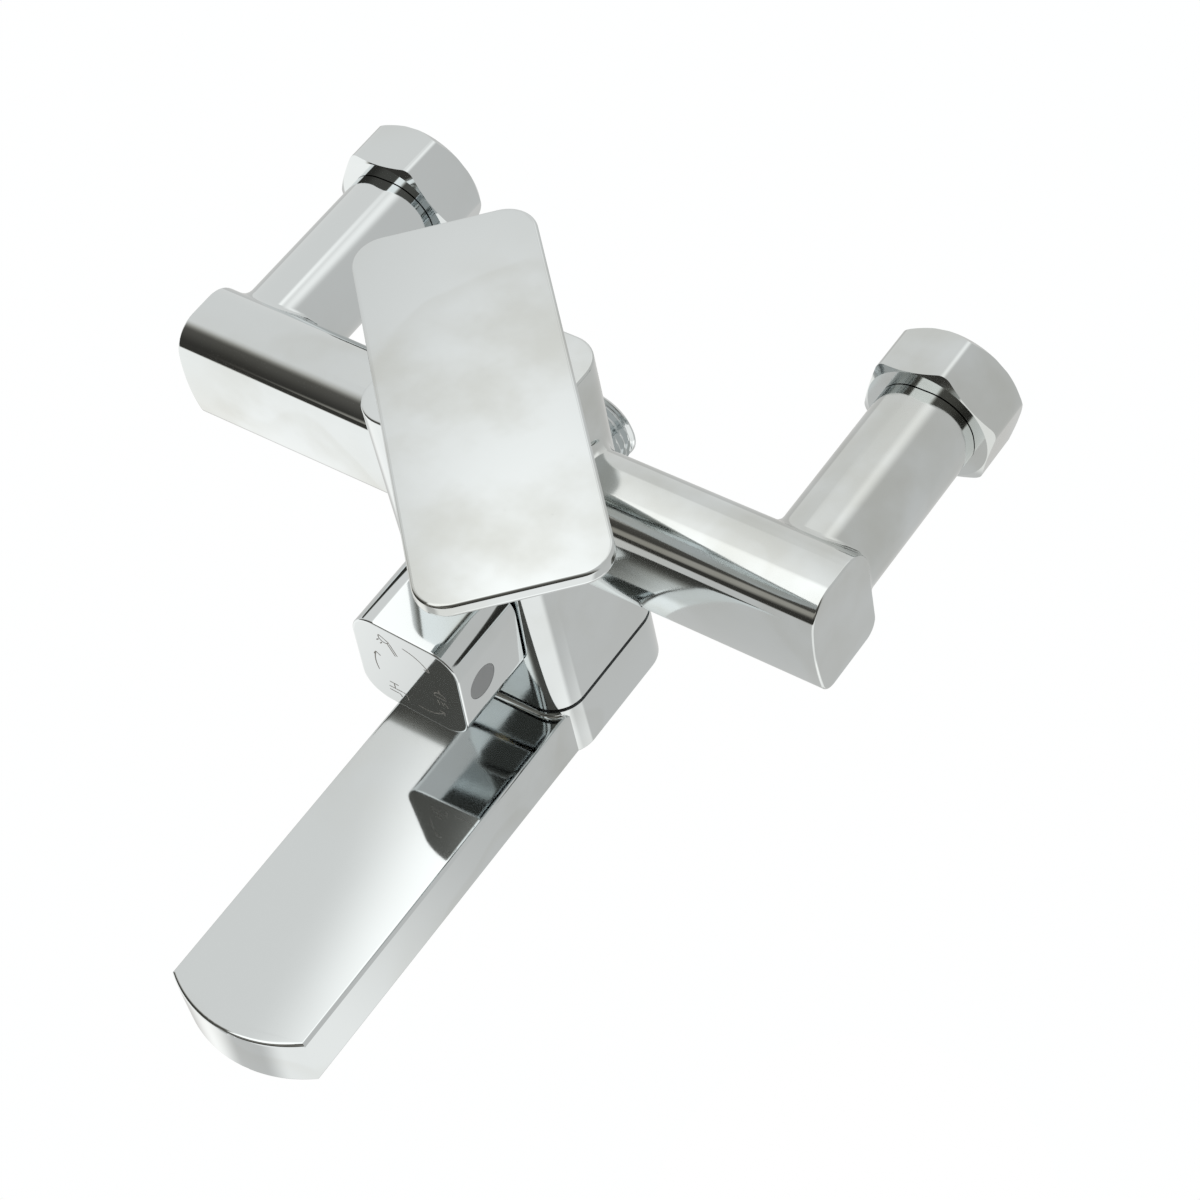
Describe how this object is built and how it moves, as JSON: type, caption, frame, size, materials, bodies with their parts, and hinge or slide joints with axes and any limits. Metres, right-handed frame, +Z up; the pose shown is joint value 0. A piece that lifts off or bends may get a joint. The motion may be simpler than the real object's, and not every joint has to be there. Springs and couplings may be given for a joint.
{
  "type": "wall mounted bath faucet",
  "caption": "Exposed wall mounted bath mixer with a flat single lever, a square knob that diverts to a hand shower, a swivel spout and union nuts for the wall outlets",
  "frame": {"origin": "midway between the two inlet axes, on the plane where the union nuts end at the wall", "axes": "+X from the left inlet to the right one, +Y towards the wall, +Z up"},
  "size_m": [0.1843, 0.196, 0.1276],
  "materials": {
    "chrome": "polished",
    "brass": "machined",
    "rubber": "matte",
    "steel": "satin",
    "ceramic": "lapped ceramic",
    "grey_plastic": "matte",
    "white_plastic": "matte",
    "black_plastic": "gloss"
  },
  "bodies": {
    "body": {"body_casting": "chrome", "dome_cover": "chrome", "union_tail_left": "chrome", "union_tail_right": "chrome", "inlet_washer_left": "rubber", "inlet_washer_right": "rubber", "inlet_strainer_left": "steel", "inlet_strainer_right": "steel", "cartridge_base": "grey_plastic", "cartridge_base_seals": "rubber", "fixed_ceramic_disc": "ceramic", "cartridge_housing": "grey_plastic", "housing_seal": "rubber", "cartridge_clamp_nut": "brass", "diverter_bush": "brass", "diverter_bush_oring": "rubber", "diverter_seat_disc": "ceramic", "hose_nipple": "chrome", "nipple_seal": "rubber", "swivel_tail": "brass", "swivel_orings": "rubber", "swivel_washer": "black_plastic"},
    "nut_left": {"union_nut_left": "chrome"},
    "nut_right": {"union_nut_right": "chrome"},
    "rotor": {"cartridge_rotor": "white_plastic", "stem_pin": "steel"},
    "lever": {"lever_stem": "brass", "lever_handle": "chrome", "lever_grub_screw": "steel", "lever_index_plug": "grey_plastic"},
    "disc_slider": {"moving_ceramic_disc": "ceramic", "disc_carrier": "white_plastic"},
    "diverter": {"diverter_turning_disc": "ceramic", "diverter_spindle": "brass", "diverter_spindle_oring": "rubber", "diverter_circlip": "steel", "diverter_knob": "chrome", "knob_grub_screw": "steel", "knob_screw_plug": "grey_plastic"},
    "spout": {"spout_casting": "chrome", "spout_grub_screw": "steel", "aerator_housing": "chrome", "aerator_insert": "white_plastic", "aerator_seal": "rubber"}
  },
  "joints": [
    {"name": "nut_left_spin", "type": "hinge", "parent": "body", "child": "nut_left", "pos_m": [-0.075, 0, 0], "axis": [0, 1, 0], "continuous": true},
    {"name": "nut_right_spin", "type": "hinge", "parent": "body", "child": "nut_right", "pos_m": [0.075, 0, 0], "axis": [0, 1, 0], "continuous": true},
    {"name": "lever_turn", "type": "hinge", "parent": "body", "child": "rotor", "pos_m": [0, -0.07175, 0], "axis": [0, 0, 1], "range_deg": [-95, 5]},
    {"name": "lever_lift", "type": "hinge", "parent": "rotor", "child": "lever", "pos_m": [0, -0.07175, 0.02], "axis": [-0.7071, -0.7071, 0], "range_deg": [0, 20]},
    {"name": "disc_slide", "type": "slide", "parent": "rotor", "child": "disc_slider", "axis": [0.7071, -0.7071, 0], "range_m": [0, 0.0023]},
    {"name": "diverter_turn", "type": "hinge", "parent": "body", "child": "diverter", "pos_m": [0, -0.07175, -0.022], "axis": [0, 1, 0], "range_deg": [0, 90]},
    {"name": "spout_swivel", "type": "hinge", "parent": "body", "child": "spout", "pos_m": [0, -0.07175, -0.06], "axis": [0, 0, 1], "range_deg": [-60, 60]}
  ],
  "couplings": [
    {"joint": "disc_slide", "follows": "lever_lift", "m_per_rad": 0.00627}
  ]
}
